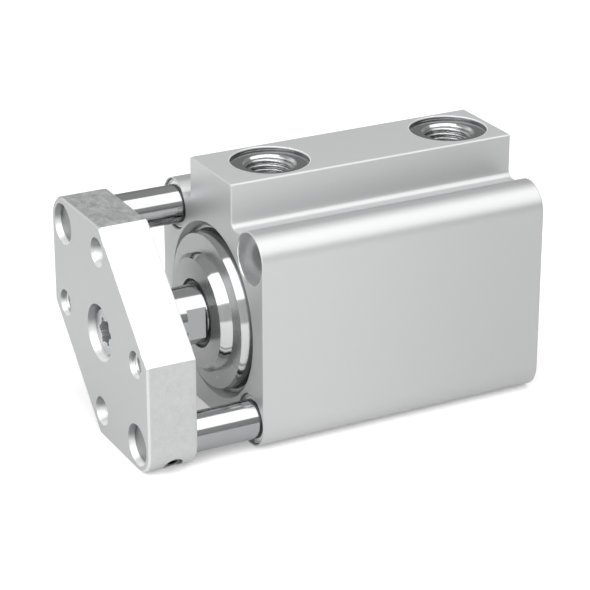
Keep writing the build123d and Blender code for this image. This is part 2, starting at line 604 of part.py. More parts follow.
def guide_plate():
    """The guide plate that ties the piston rod and both guide rods together."""
    plate = Pos(PLATE_REAR, 0, 0) * extrude(Plane.YZ * plate_outline(), amount=PLATE_THICKNESS)
    rims = plate.edges().group_by(Axis.X)
    plate = chamfer(rims[0] + rims[-1], PLATE_EDGE_CHAMFER)
    head = PLATE_SCREW_HEAD_DIAMETER / 2 + PLATE_SCREW_SIDE_CLEARANCE
    plate -= round_bar(head, plate_screw_seat(), PLATE_FRONT + OVERRUN)
    plate -= countersink(head, PLATE_THREAD_CHAMFER, PLATE_FRONT, -1)
    shank = PLATE_SCREW_DIAMETER / 2 + PLATE_SCREW_HOLE_CLEARANCE
    plate -= round_bar(shank, PLATE_REAR - OVERRUN, PLATE_FRONT)
    for side in (-1, 1):
        plate -= plate_hole_cutter(PLATE_DOWEL_DIAMETER / 2, PLATE_HOLE_CHAMFER, (0, side * HALF_PITCH))
        plate -= plate_hole_cutter(PLATE_THREAD_DIAMETER / 2, PLATE_THREAD_CHAMFER, (side * HALF_PITCH, 0))
    for place in (UPPER_GUIDE, LOWER_GUIDE):
        plate -= plate_hole_cutter(GUIDE_ROD_RADIUS + SEAT_CLEARANCE, PLATE_THREAD_CHAMFER, place)
        plate -= clamp_frame(place) * Cylinder(CLAMP_SCREW_DIAMETER / 2, BODY_SIDE / 2,
                                               align=(Align.CENTER, Align.CENTER, Align.MIN))
    return plate


def lobed_socket():
    """The cutter for the plate screw's six-lobe socket, with its mouth at the head's front face."""
    profile = Circle(SOCKET_CORE_DIAMETER / 2)
    for spot in PolarLocations(SOCKET_CORE_DIAMETER / 2, SOCKET_LOBES):
        profile += spot * Circle(SOCKET_LOBE_DIAMETER / 2)
    mouth = PLATE_FRONT - PLATE_SCREW_RECESS
    return Pos(mouth - SOCKET_DEPTH, 0, 0) * extrude(Plane.YZ * profile, amount=SOCKET_DEPTH + OVERRUN)


def plate_screw():
    """The screw that holds the guide plate on the piston rod."""
    seat = plate_screw_seat()
    head = PLATE_SCREW_HEAD_DIAMETER / 2
    top = seat + PLATE_SCREW_HEAD_HEIGHT
    shank = PLATE_SCREW_DIAMETER / 2 - THREAD_CLEARANCE
    screw = turned((seat - PLATE_SCREW_LENGTH, 0), (seat - PLATE_SCREW_LENGTH, shank), (seat, shank),
                   (seat, head), (top - PLATE_SCREW_HEAD_CHAMFER, head),
                   (top, head - PLATE_SCREW_HEAD_CHAMFER), (top, 0))
    return screw - lobed_socket()


def assembly():
    """Every piece by its node name."""
    front_ring_start = BODY_LENGTH - RING_INSET - RING_THICKNESS
    rear_slot, front_slot = piston_slots()[0], piston_slots()[-1]
    return {
        "housing": housing(),
        "front_cover": front_cover(),
        "front_cover_o_ring": cover_seal(cover_rim_middle(FRONT_SHOULDER, 1)),
        "front_retaining_ring": retaining_ring(front_ring_start, BODY_LENGTH - RING_INSET),
        "front_bumper": bumper_ring(FRONT_NOSE_END, 1),
        "rod_bush": rod_bush(),
        "rod_seal": rod_seal(),
        "rod_wiper": rod_wiper(),
        "rear_cover": rear_cover(),
        "rear_cover_o_ring": cover_seal(cover_rim_middle(REAR_SHOULDER, -1)),
        "rear_retaining_ring": retaining_ring(RING_INSET, RING_INSET + RING_THICKNESS),
        "rear_bumper": bumper_ring(REAR_NOSE_END, -1),
        "upper_guide_bush": guide_bush(UPPER_GUIDE),
        "lower_guide_bush": guide_bush(LOWER_GUIDE),
        "upper_guide_wiper": guide_wiper(UPPER_GUIDE),
        "lower_guide_wiper": guide_wiper(LOWER_GUIDE),
        "piston": piston(),
        "piston_o_ring": piston_o_ring(),
        "rear_piston_seal": piston_seal(rear_slot, False),
        "front_piston_seal": piston_seal(front_slot, True),
        "magnet_ring": magnet_ring(),
        "piston_guide_band": guide_band(),
        "piston_screw": piston_screw(),
        "piston_rod": piston_rod(),
        "guide_plate": guide_plate(),
        "plate_screw": plate_screw(),
        "upper_guide_rod": guide_rod(UPPER_GUIDE),
        "lower_guide_rod": guide_rod(LOWER_GUIDE),
        "rod_clamp_screws": Compound(children=[clamp_screw(UPPER_GUIDE), clamp_screw(LOWER_GUIDE)]),
    }


os.makedirs("parts", exist_ok=True)
for node, shape in assembly().items():
    export_step(shape, f"parts/{node}.step")
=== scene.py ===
"""The looks of a short-stroke cylinder with a guide plate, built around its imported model.

Lengths are in metres and the frame is the model's own: +X is the way the rod comes out, +Z is the
side of the port rail, and the origin is the centre of the housing's rear face.
"""

import json
import logging
import math
from dataclasses import dataclass, field
from enum import Enum
from typing import Any, Iterable

import bmesh
import bpy
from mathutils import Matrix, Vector

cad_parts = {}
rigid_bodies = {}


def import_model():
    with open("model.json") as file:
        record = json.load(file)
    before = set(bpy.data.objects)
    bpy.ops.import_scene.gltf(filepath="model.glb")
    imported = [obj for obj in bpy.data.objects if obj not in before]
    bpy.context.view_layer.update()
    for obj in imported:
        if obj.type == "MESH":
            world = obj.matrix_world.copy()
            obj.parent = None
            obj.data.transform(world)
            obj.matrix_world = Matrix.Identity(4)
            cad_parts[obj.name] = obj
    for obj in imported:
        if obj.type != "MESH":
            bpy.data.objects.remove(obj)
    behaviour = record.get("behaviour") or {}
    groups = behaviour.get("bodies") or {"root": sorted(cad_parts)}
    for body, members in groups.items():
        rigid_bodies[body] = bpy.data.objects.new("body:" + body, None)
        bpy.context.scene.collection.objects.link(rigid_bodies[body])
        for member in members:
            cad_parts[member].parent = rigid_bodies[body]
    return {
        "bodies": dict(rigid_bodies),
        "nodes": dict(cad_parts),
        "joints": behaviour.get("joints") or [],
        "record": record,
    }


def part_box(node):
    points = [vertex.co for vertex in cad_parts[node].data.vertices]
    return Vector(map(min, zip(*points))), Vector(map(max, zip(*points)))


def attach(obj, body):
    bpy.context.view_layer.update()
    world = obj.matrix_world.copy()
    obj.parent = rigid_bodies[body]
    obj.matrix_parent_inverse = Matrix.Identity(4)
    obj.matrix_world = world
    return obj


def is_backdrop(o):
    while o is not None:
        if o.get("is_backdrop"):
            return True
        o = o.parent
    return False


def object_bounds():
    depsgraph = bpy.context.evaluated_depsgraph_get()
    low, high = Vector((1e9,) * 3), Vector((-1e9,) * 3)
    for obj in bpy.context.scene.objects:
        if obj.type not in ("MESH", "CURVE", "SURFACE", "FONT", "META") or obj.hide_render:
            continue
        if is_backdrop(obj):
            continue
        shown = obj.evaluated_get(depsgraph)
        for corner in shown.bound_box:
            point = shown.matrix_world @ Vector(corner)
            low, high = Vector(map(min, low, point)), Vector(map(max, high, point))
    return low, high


LOG = logging.getLogger("cylinder")
MM = 0.001
Colour = tuple[float, float, float]
Triple = tuple[float, float, float]
Span = tuple[float, float]
BLACK: Colour = (0.0, 0.0, 0.0)
WHITE: Colour = (1.0, 1.0, 1.0)
ALONG_X: Triple = (1.0, 0.0, 0.0)
ACROSS_X: Triple = (0.0, 1.0, 1.0)
ACROSS_Z: Triple = (1.0, 1.0, 0.0)


class Body(Enum):
    """The two rigid bodies of the cylinder."""

    FIXED = "cylinder_body"
    MOVING = "rod_and_plate"


class Slot(Enum):
    """The record's material slots."""

    ANODISED = "anodised_aluminium"
    MILLED = "milled_aluminium"
    TURNED = "turned_aluminium"
    CHROME = "hard_chrome"
    BUSH = "bush_steel"
    SPRING = "spring_steel"
    ZINC = "zinc_plated_steel"
    BLACK = "black_steel"
    MAGNET = "magnet_compound"
    BAND = "band_plastic"
    BUMPER = "bumper_elastomer"
    RUBBER = "seal_rubber"


class Signal:
    """One output of a material's nodes, on which Python expressions work."""

    def __init__(self, board: "Board", socket: bpy.types.NodeSocket) -> None:
        """Holds the board that the socket is on, and the socket."""
        self.board = board
        self.socket = socket

    def __add__(self, other: "Signal | float") -> "Signal":
        """The sum."""
        return self.board.math("ADD", self, other)

    def __radd__(self, other: float) -> "Signal":
        """The sum, with a plain number first."""
        return self.board.math("ADD", other, self)

    def __sub__(self, other: "Signal | float") -> "Signal":
        """The difference."""
        return self.board.math("SUBTRACT", self, other)

    def __rsub__(self, other: float) -> "Signal":
        """The difference from a plain number."""
        return self.board.math("SUBTRACT", other, self)

    def __mul__(self, other: "Signal | float") -> "Signal":
        """The product."""
        return self.board.math("MULTIPLY", self, other)

    def __rmul__(self, other: float) -> "Signal":
        """The product, with a plain number first."""
        return self.board.math("MULTIPLY", other, self)

    def __abs__(self) -> "Signal":
        """The size without its sign."""
        return self.board.math("ABSOLUTE", self)

    def ramp(self, low: float, high: float) -> "Signal":
        """Rises smoothly from 0 at low to 1 at high.

        Args:
            low: The value at which the result leaves 0.
            high: The value at which the result reaches 1, which may be the lower one.

        Returns:
            The smoothed share.
        """
        made = self.board.node("ShaderNodeMapRange", {"interpolation_type": "SMOOTHSTEP"},
                               {"Value": self, "From Min": low, "From Max": high})
        return Signal(self.board, made.outputs["Result"])


class Board:
    """The nodes of one material or world, added through a single method."""

    MIX_FACTOR, MIX_FIRST, MIX_SECOND, MIX_RESULT = 0, 6, 7, 2
    BLEND_FIRST, BLEND_SECOND, BLEND_RESULT = 4, 5, 1
    GRAIN_ROUGHNESS = 0.55
    STREAK_ROUGHNESS = 0.5
    STREAK_DETAIL = 1.0
    EDGE_SAMPLES = 6
    BROKEN_SPAN: Span = (0.995, 0.93)

    def __init__(self, tree: bpy.types.NodeTree) -> None:
        """Empties the tree, so that only what is added here is in it."""
        self.tree = tree
        self.tree.nodes.clear()

    def node(self, kind: str, settings: dict[str, Any] | None = None,
             inputs: dict[str | int, Any] | None = None) -> bpy.types.Node:
        """Adds one node.

        Args:
            kind: The node's type.
            settings: Its settings. They are set before its sockets.
            inputs: Values or signals by socket name or index.

        Returns:
            The new node.
        """
        made = self.tree.nodes.new(kind)
        for name, value in (settings or {}).items():
            setattr(made, name, value)
        for name, value in (inputs or {}).items():
            if isinstance(value, Signal):
                self.tree.links.new(value.socket, made.inputs[name])
            else:
                made.inputs[name].default_value = value
        return made

    def math(self, operation: str, first: Signal | float, second: Signal | float = 0.0) -> Signal:
        """Adds a Math node.

        Args:
            operation: Its operation.
            first: Its first value.
            second: Its second value, where it has one.

        Returns:
            The result.
        """
        made = self.node("ShaderNodeMath", {"operation": operation}, {0: first, 1: second})
        return Signal(self, made.outputs[0])

    def vector(self, operation: str, first: Signal, second: Signal | Triple = (0.0, 0.0, 0.0),
               output: str = "Vector") -> Signal:
        """Adds a Vector Math node.

        Args:
            operation: Its operation.
            first: Its first vector.
            second: Its second vector, where it has one.
            output: The output that is wanted: Vector, or Value for a length.

        Returns:
            The result.
        """
        made = self.node("ShaderNodeVectorMath", {"operation": operation}, {0: first, 1: second})
        return Signal(self, made.outputs[output])

    def mix(self, share: Signal | float, first: Signal | Colour, second: Signal | Colour) -> Signal:
        """Mixes two colours.

        Args:
            share: How much of the second colour there is.
            first: The colour at 0.
            second: The colour at 1.

        Returns:
            The mixed colour.
        """
        colours = [value if isinstance(value, Signal) else (*value, 1.0) for value in (first, second)]
        made = self.node("ShaderNodeMix", {"data_type": "RGBA"},
                         {self.MIX_FACTOR: share, self.MIX_FIRST: colours[0], self.MIX_SECOND: colours[1]})
        return Signal(self, made.outputs[self.MIX_RESULT])

    def shaded(self, tone: Signal, colour: Colour, tones: Span) -> Signal:
        """A colour somewhere between its dark and its light tone.

        Args:
            tone: Where it is between them, from 0 to 1.
            colour: The colour.
            tones: The dark and the light tone, as shares of the colour.

        Returns:
            The shaded colour.
        """
        dark, light = (tuple(min(1.0, part * share) for part in colour) for share in tones)
        return self.mix(tone, dark, light)

    def blend(self, share: Signal | float, first: Signal, second: Signal) -> Signal:
        """Mixes two vectors.

        Args:
            share: How much of the second vector there is.
            first: The vector at 0.
            second: The vector at 1.

        Returns:
            The mixed vector.
        """
        made = self.node("ShaderNodeMix", {"data_type": "VECTOR"},
                         {self.MIX_FACTOR: share, self.BLEND_FIRST: first, self.BLEND_SECOND: second})
        return Signal(self, made.outputs[self.BLEND_RESULT])

    def place(self) -> Signal:
        """The point on the piece, in its own frame, which its body carries along."""
        return Signal(self, self.node("ShaderNodeTexCoord").outputs["Object"])

    def facing(self) -> Signal:
        """The surface's direction in the piece's own frame."""
        return Signal(self, self.node("ShaderNodeTexCoord").outputs["Normal"])

    def split(self, vector: Signal) -> tuple[Signal, Signal, Signal]:
        """The three parts of a vector."""
        made = self.node("ShaderNodeSeparateXYZ", inputs={"Vector": vector})
        return tuple(Signal(self, made.outputs[axis]) for axis in "XYZ")

    def grain(self, place: Signal, stretch: Triple, detail: float = 2.0) -> Signal:
        """Noise from 0 to 1 with its own count of grains per metre along each axis.

        Args:
            place: The point on the piece.
            stretch: Grains per metre along X, Y and Z.
            detail: How many finer layers are added.

        Returns:
            The noise.
        """
        scaled = self.vector("MULTIPLY", place, stretch)
        made = self.node("ShaderNodeTexNoise", {"noise_dimensions": "3D"},
                         {"Vector": scaled, "Scale": 1.0, "Detail": detail,
                          "Roughness": self.GRAIN_ROUGHNESS})
        return Signal(self, made.outputs["Fac"])

    def streak(self, travel: Signal, rate: float) -> Signal:
        """Noise from 0 to 1 along one distance, with rate grains per metre."""
        made = self.node("ShaderNodeTexNoise", {"noise_dimensions": "1D"},
                         {"W": travel * rate, "Scale": 1.0, "Detail": self.STREAK_DETAIL,
                          "Roughness": self.STREAK_ROUGHNESS})
        return Signal(self, made.outputs["Fac"])

    def around(self, place: Signal, centre: tuple[float, float]) -> Signal:
        """The distance from an axis along X through a (y, z) centre."""
        shifted = self.vector("SUBTRACT", place, (0.0, *centre))
        flat = self.vector("MULTIPLY", shifted, ACROSS_X)
        return self.vector("LENGTH", flat, output="Value")

    def rounded(self, edge: float) -> Signal:
        """The surface direction, with sharp edges rounded by a small radius in metres."""
        made = self.node("ShaderNodeBevel", {"samples": self.EDGE_SAMPLES}, {"Radius": edge})
        return Signal(self, made.outputs["Normal"])

    def plain(self) -> Signal:
        """The surface's direction in the world, without any shading."""
        return Signal(self, self.node("ShaderNodeNewGeometry").outputs["Normal"])

    def broken(self, edge: Signal) -> Signal:
        """Where a rounded direction leaves the surface's own, which is along broken edges."""
        return self.vector("DOT_PRODUCT", edge, self.plain(), output="Value").ramp(*self.BROKEN_SPAN)

    def leaning(self, normal: Signal, lean: float) -> Signal:
        """The direction of a side round an X axis, with its broken edges, as one slope.

        Args:
            normal: The surface direction.
            lean: How far the slope leans towards +X, as a share of its outward part.

        Returns:
            The leaning direction.
        """
        outward = self.vector("NORMALIZE", self.vector("MULTIPLY", normal, ACROSS_X))
        return self.vector("NORMALIZE", self.vector("ADD", outward, (lean, 0.0, 0.0)))

    def grooved(self, normal: Signal, place: Signal, centre: tuple[float, float], slope: Signal) -> Signal:
        """Tilts a surface direction across the turning grooves that ring an axis along X.

        Args:
            normal: The direction without grooves.
            place: The point on the piece.
            centre: The (y, z) of the axis.
            slope: How steep the groove's flank is there, up or down.

        Returns:
            The tilted direction.
        """
        shifted = self.vector("SUBTRACT", place, (0.0, *centre))
        round_way = self.vector("NORMALIZE", self.vector("CROSS_PRODUCT", shifted, ALONG_X))
        across = self.vector("CROSS_PRODUCT", normal, round_way)
        tilt = self.node("ShaderNodeVectorMath", {"operation": "SCALE"}, {0: across, "Scale": slope})
        tilted = self.vector("ADD", normal, Signal(self, tilt.outputs["Vector"]))
        return self.vector("NORMALIZE", tilted)

    def relief(self, height: Signal, depth: float, normal: Signal | None = None) -> Signal:
        """A surface direction with fine relief.

        Args:
            height: The relief, from 0 to 1.
            depth: How deep the relief is, in metres.
            normal: The direction under the relief, where it isn't the plain surface's.

        Returns:
            The direction for a shader's Normal.
        """
        inputs: dict[str | int, Any] = {"Height": height, "Distance": depth, "Strength": 1.0}
        if normal is not None:
            inputs["Normal"] = normal
        return Signal(self, self.node("ShaderNodeBump", inputs=inputs).outputs["Normal"])

    def surface(self, inputs: dict[str | int, Any]) -> None:
        """Ends the material in one Principled shader with these inputs."""
        shader = self.node("ShaderNodeBsdfPrincipled", inputs=inputs)
        self.node("ShaderNodeOutputMaterial", inputs={"Surface": Signal(self, shader.outputs["BSDF"])})


def new_material(name: str) -> tuple[bpy.types.Material, Board]:
    """A new material and its board."""
    material = bpy.data.materials.new(name)
    material.use_nodes = True
    return material, Board(material.node_tree)


@dataclass(frozen=True)
class ExtrudedFinish:
    """Clear anodised extrusion: die lines along the profile, tool marks on its cut ends.

    The port facings and the corner bores are machined, so they mirror more than the soft skin does. The
    pale colour inside the corner bores is painted light, the rims of the facings and the slanted corner
    faces carry painted highlights, and the facings' walls, the bore's mouth, a ledge on top and the sides
    towards the rear carry painted shade.
    """

    facings: tuple[tuple[float, float], ...]
    bores: tuple[tuple[float, float], ...]
    name: str = "clear_anodised_extrusion"
    colour: Colour = (0.455, 0.459, 0.461)
    # painted highlight: the paler colour of the slanted corner faces
    slant_highlight_colour: Colour = (0.520, 0.524, 0.526)
    cut_colour: Colour = (0.490, 0.494, 0.496)
    faced_colour: Colour = (0.300, 0.304, 0.308)
    # painted shade: the dark colour of the port facings' walls
    painted_wall_shade: Colour = (0.150, 0.152, 0.154)
    thread_colour: Colour = (0.560, 0.564, 0.568)
    # painted highlight: near white on the broken rims of the port facings
    rim_glint_colour: Colour = (0.920, 0.924, 0.928)
    # painted shade: the dark colour of the bore's mouth
    painted_mouth_shade: Colour = (0.290, 0.293, 0.296)
    # painted shade: the dark colour of the flat ledge at the housing's top level
    painted_ledge_shade: Colour = (0.335, 0.338, 0.341)
    # painted light: the pale colour inside the corner bores
    painted_bore_light: Colour = (0.720, 0.724, 0.728)
    skin_tones: Span = (0.88, 1.10)
    cut_tones: Span = (0.86, 1.12)
    cut_span: Span = (0.80, 0.97)
    slant_highlight_span: Span = (0.30, 0.46)
    ledge_span: Span = (0.93, 0.99)
    wall_shade_span: Span = (0.6, 0.4)
    facing_radius: float = 0.0082
    rim_radius: float = 0.0088
    thread_radius: float = 0.0054
    bore_radius: float = 0.00536
    mouth_radii: Span = (0.0163, 0.0184)
    facing_level: float = 0.0294
    ledge_levels: Span = (0.0221, 0.0228)
    port_reach: float = 0.0110
    zone_blur: float = 0.01
    mouth_blur: float = 0.005
    level_blur: float = 0.0001
    metallic: float = 0.25
    cut_metallic: float = 0.28
    bore_metallic: float = 0.75
    shade: float = 0.035
    # painted shade: the sides get darker towards the rear end
    painted_rear_shade: float = 0.16
    rear_shade_length: float = 0.0635
    roughness: float = 0.38
    faced_roughness: float = 0.14
    bore_roughness: float = 0.15
    roughness_spread: float = 0.05
    die_lines: Triple = (6.0, 2600.0, 2600.0)
    clouds: Triple = (28.0, 60.0, 60.0)
    speckle: Triple = (9000.0, 9000.0, 9000.0)
    tool_marks: Triple = (400.0, 300.0, 5200.0)
    line_height: float = 0.7
    speckle_height: float = 0.3
    relief_depth: float = 0.0000022
    edge_radius: float = 0.00042

    def material(self) -> bpy.types.Material:
        """Builds the material."""
        material, board = new_material(self.name)
        place = board.place()
        across, _, up = board.split(board.facing())
        cut = abs(across).ramp(*self.cut_span)
        faced, threaded, rims = self._ports(board, place)
        bored = self._bores(board, place)
        edge = board.rounded(self.edge_radius)
        lines = board.grain(place, self.die_lines)
        marks = board.grain(place, self.tool_marks)
        speckle = board.grain(place, self.speckle, 1.0)
        clouds = board.grain(place, self.clouds, 3.0)
        fine = lines * (1.0 - cut) + marks * cut
        tone = (fine - 0.5) * self.shade + (clouds - 0.5) * (2 * self.shade) + 0.5
        # Painted light: the corner bores get a pale colour that stands in for light reflected into them.
        tooled = board.mix(bored, self._plain(board, place, tone, cut), self.painted_bore_light)
        # Painted shade: the walls of the port facings are darker than their floors.
        facing = board.mix(abs(up).ramp(*self.wall_shade_span), self.faced_colour, self.painted_wall_shade)
        port = board.mix(threaded, facing, self.thread_colour)
        bare = board.math("MAXIMUM", faced, cut * self.cut_metallic)
        metal = bare + (1.0 - bare) * self.metallic
        rough = (clouds + speckle - 1.0) * self.roughness_spread + self.roughness
        smooth = rough * (1.0 - faced) + faced * self.faced_roughness
        height = fine * self.line_height + speckle * self.speckle_height
        # Painted highlight: the broken rims of the port facings get a near-white colour.
        rim_glint = rims * board.broken(edge)
        board.surface({"Base Color": board.mix(rim_glint, board.mix(faced, tooled, port), self.rim_glint_colour),
                       "Metallic": metal * (1.0 - bored) + bored * self.bore_metallic,
                       "Roughness": smooth * (1.0 - bored) + bored * self.bore_roughness,
                       "Normal": board.relief(height, self.relief_depth, edge)})
        return material

    def _plain(self, board: Board, place: Signal, tone: Signal, cut: Signal) -> Signal:
        """The colour away from the ports and the corner bores.

        Args:
            board: The material's board.
            place: The point on the piece.
            tone: Where the colour is between its dark and its light tone.
            cut: Where the cut ends are.

        Returns:
            The colour of the skin, its slants and ledges, the bore's mouth and the cut ends, with painted
            highlights on the slants and painted shade on the ledge, the bore's mouth and the sides towards
            the rear.
        """
        _, side, up = board.split(board.facing())
        along, _, level = board.split(place)
        near = board.shaded(tone, self.colour, self.skin_tones)
        # Painted shade: the sides darken towards the rear end.
        rear_shade = along.ramp(self.rear_shade_length, 0.0) * abs(side) * self.painted_rear_shade
        skin = board.mix(rear_shade, near, BLACK)
        # Painted highlight: the slanted corner faces get a paler colour.
        slant_highlight = (abs(side) * up).ramp(*self.slant_highlight_span)
        inner, outer = self.mouth_radii
        reach = board.around(place, (0.0, 0.0))
        # Painted shade: the mouth of the cover bore is darker.
        mouth = (reach.ramp(inner, inner * (1.0 + self.mouth_blur))
                 * reach.ramp(outer, outer * (1.0 - self.mouth_blur)) * (1.0 - cut))
        sides = board.mix(mouth, board.mix(slant_highlight, skin, self.slant_highlight_colour), self.painted_mouth_shade)
        low, high = self.ledge_levels
        # Painted shade: the flat ledge at the housing's top level is darker.
        ledge_shade = (up.ramp(*self.ledge_span) * level.ramp(low, low + self.level_blur)
                 * level.ramp(high + self.level_blur, high))
        ends = board.shaded(tone, self.cut_colour, self.cut_tones)
        return board.mix(cut, board.mix(ledge_shade, sides, self.painted_ledge_shade), ends)

    def _ports(self, board: Board, place: Signal) -> tuple[Signal, Signal, Signal]:
        """Where the ports with their facings are, their threads, and the rims of their facings."""
        _, _, level = board.split(place)
        reaches = []
        for x, y in self.facings:
            shifted = board.vector("SUBTRACT", place, (x, y, 0.0))
            flat = board.vector("MULTIPLY", shifted, ACROSS_Z)
            reaches.append(board.vector("LENGTH", flat, output="Value"))
        zones = [[reach.ramp(radius * (1.0 + self.zone_blur), radius) for reach in reaches]
                 for radius in (self.facing_radius, self.thread_radius, self.rim_radius)]
        faced, threaded, rims = (sum(zone[1:], zone[0]) for zone in zones)
        floor = self.facing_level - self.port_reach
        below = level.ramp(self.facing_level, self.facing_level - self.level_blur)
        above = level.ramp(floor, floor + self.level_blur)
        return faced * below * above, threaded, rims * (1.0 - below)

    def _bores(self, board: Board, place: Signal) -> Signal:
        """Where the corner bores are, with the rim of their mouths."""
        blurred = self.bore_radius * (1.0 + self.zone_blur)
        zones = [board.around(place, centre).ramp(blurred, self.bore_radius) for centre in self.bores]
        return sum(zones[1:], zones[0])


@dataclass(frozen=True)
class MilledFinish:
    """Plate aluminium: fine milled faces across X, and raw, mottled edges as the bar was drawn, with
    painted highlights on its slants and broken edges and painted light and shade in its hole walls.
    """

    holes: tuple[tuple[float, float, float], ...]
    name: str = "milled_plate"
    colour: Colour = (0.380, 0.384, 0.386)
    edge_colour: Colour = (0.452, 0.455, 0.456)
    # painted highlight: the paler colour of the plate's slanted corner faces
    slant_highlight_colour: Colour = (0.620, 0.624, 0.626)
    # painted highlight: the paler colour of the broken front and side edges
    broken_edge_highlight: Colour = (0.550, 0.554, 0.556)
    # painted light and shade in the hole walls: pale where they face up, dark where they face down
    painted_hole_highlight: Colour = (0.820, 0.824, 0.826)
    hole_shadow: Colour = (0.230, 0.234, 0.236)
    face_tones: Span = (0.96, 1.04)
    edge_tones: Span = (0.66, 1.30)
    face_span: Span = (0.75, 0.95)
    raw_span: Span = (0.90, 0.99)
    slant_highlight_span: Span = (0.30, 0.46)
    hole_span: Span = (-0.20, 0.45)
    front_break: Span = (0.97, 0.90)
    side_break: Span = (0.25, 0.40)
    back_break: Span = (-0.02, -0.10)
    back_face: Span = (-0.90, -0.98)
    zone_blur: float = 0.02
    lean: float = 0.35
    metallic: float = 0.62
    face_metallic: float = 0.80
    roughness: float = 0.36
    edge_roughness: float = 0.42
    broken_gloss: float = 0.5
    mottle_gloss: float = 0.25
    speckle_gloss: float = 0.06
    mottle: Triple = (800.0, 600.0, 600.0)
    mottle_shade: float = 2.6
    mottle_share: float = 0.6
    pits: Triple = (2300.0, 1600.0, 1600.0)
    pit_share: float = 0.4
    mill_lines: Triple = (300.0, 240.0, 4200.0)
    speckle: Triple = (7000.0, 7000.0, 7000.0)
    speckle_shade: float = 0.05
    side_share: float = 0.25
    line_height: float = 0.05
    speckle_height: float = 0.03
    mottle_height: float = 0.8
    pit_height: float = 0.3
    relief_depth: float = 0.000030
    edge_radius: float = 0.00032

    def material(self) -> bpy.types.Material:
        """Builds the material."""
        material, board = new_material(self.name)
        place = board.place()
        across, side, up = board.split(board.facing())
        faces = abs(across).ramp(*self.face_span)
        raw = abs(up).ramp(*self.raw_span) + abs(side).ramp(*self.raw_span) * self.side_share
        lines = board.grain(place, self.mill_lines)
        speckle = board.grain(place, self.speckle, 1.0)
        pits = board.grain(place, self.pits, 2.0)
        mottle = board.grain(place, self.mottle, 3.0)
        patches = (mottle - 0.5) * self.mottle_share + (pits - 0.5) * self.pit_share
        tone = patches * (raw * self.mottle_shade) + 0.5 + (speckle - 0.5) * self.speckle_shade
        edge = board.shaded(tone, self.edge_colour, self.edge_tones)
        face = board.shaded((lines + speckle) * 0.5, self.colour, self.face_tones)
        rough = (faces * (self.roughness - self.edge_roughness) + self.edge_roughness
                 + (mottle - 0.5) * raw * self.mottle_gloss + (speckle - 0.5) * self.speckle_gloss)
        uneven = (mottle * self.mottle_height + pits * self.pit_height) * raw
        height = (lines * self.line_height * faces + uneven * (1.0 - faces)
                  + speckle * self.speckle_height)
        soft = board.rounded(self.edge_radius)
        turned, _, _ = board.split(soft)
        # Painted highlight: the slanted corner faces get a paler colour.
        slant_highlight = (abs(side) * up).ramp(*self.slant_highlight_span)
        wall = self._walls(board, place, faces)
        # Painted light and shade: the hole walls are pale where they face up and dark where they face
        # down.
        painted_hole_light = board.mix(up.ramp(*self.hole_span), self.hole_shadow, self.painted_hole_highlight)
        sides = board.mix(wall, board.mix(slant_highlight, edge, self.slant_highlight_colour), painted_hole_light)
        metal = faces * (self.face_metallic - self.metallic) + self.metallic
        # Painted highlight: the broken front and side edges get a paler colour; they are also more
        # metallic and glossier.
        broken = turned.ramp(*self.front_break) * turned.ramp(*self.side_break) * (1.0 - wall)
        shaped = self._shaped(board, soft, turned, wall)
        board.surface({"Base Color": board.mix(broken, board.mix(faces, sides, face), self.broken_edge_highlight),
                       "Metallic": metal + (1.0 - metal) * broken,
                       "Roughness": rough * (1.0 - broken * self.broken_gloss),
                       "Normal": board.relief(height, self.relief_depth, shaped)})
        return material

    def _walls(self, board: Board, place: Signal, faces: Signal) -> Signal:
        """Where the walls of the plate's holes are."""
        zones = [board.around(place, (y, z)).ramp(radius * (1.0 + self.zone_blur), radius)
                 for y, z, radius in self.holes]
        return sum(zones[1:], zones[0]) * (1.0 - faces)

    def _shaped(self, board: Board, soft: Signal, turned: Signal, wall: Signal) -> Signal:
        """The plate's direction: its hole walls lean to the front, its back edges stay square."""
        plain = board.plain()
        across, _, _ = board.split(plain)
        square = board.blend(across.ramp(*self.back_face), board.leaning(plain, 0.0), plain)
        outside = board.blend(turned.ramp(*self.back_break), soft, square)
        return board.blend(wall, outside, board.leaning(soft, self.lean))


